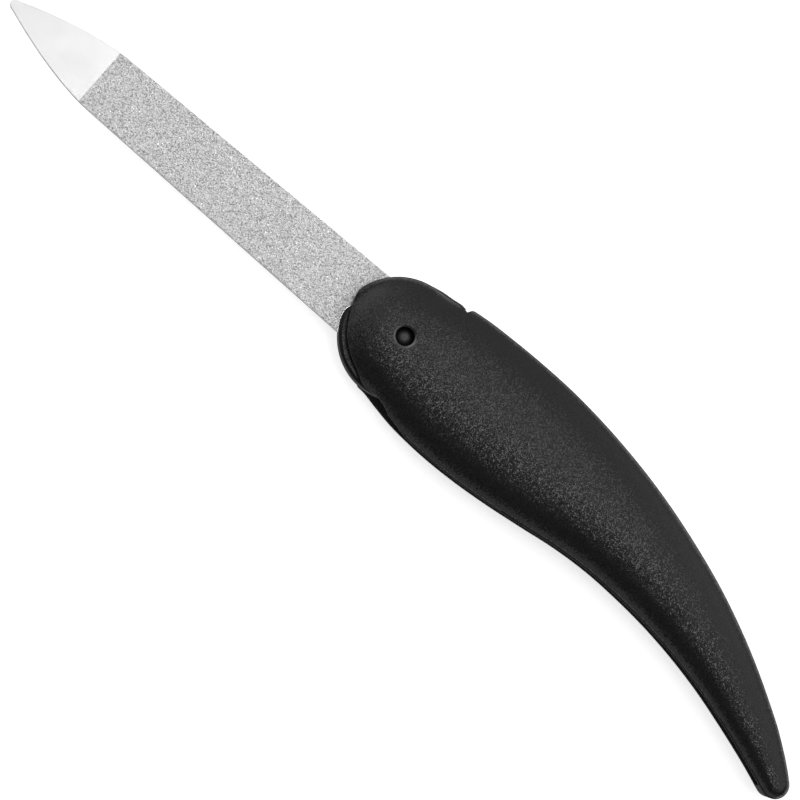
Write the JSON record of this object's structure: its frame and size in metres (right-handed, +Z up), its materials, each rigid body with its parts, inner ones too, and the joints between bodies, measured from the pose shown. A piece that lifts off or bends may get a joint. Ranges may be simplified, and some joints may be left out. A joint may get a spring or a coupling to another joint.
{
  "type": "folding nail file",
  "caption": "Flat steel nail file with an abrasive coat and a bare point, folding about one pin into the slot of a curved plastic handle.",
  "frame": {"origin": "centre of the open tool's footprint, on the flat land of the back cover that it rests on", "axes": "+X along the open blade towards its point, +Y towards the open side of the handle's slot, +Z up out of the front cover"},
  "size_m": [0.1668, 0.0276, 0.0089],
  "materials": {
    "handle_plastic": "fine-grained matt black moulding",
    "hub_plastic": "fine-grained matt black moulding, a little smoother than the covers",
    "blade_steel": "finely polished, nickel-bright at the bare point",
    "abrasive_grit": "dense light grey crystals that sparkle, bonded over the steel",
    "pin_metal": "blackened, smooth domed ends"
  },
  "bodies": {
    "handle": {"front_cover": "handle_plastic", "back_cover": "handle_plastic", "spine_spacer": "handle_plastic", "pivot_pin": "pin_metal"},
    "blade": {"blade_hub": "hub_plastic", "file_blade": "blade_steel", "abrasive_front": "abrasive_grit", "abrasive_back": "abrasive_grit"}
  },
  "joints": [
    {"name": "blade_fold", "type": "hinge", "parent": "handle", "child": "blade", "pos_m": [0.0057, -0.00316, 0.0044], "axis": [0, 0, 1], "range_deg": [0, 174.5]}
  ]
}
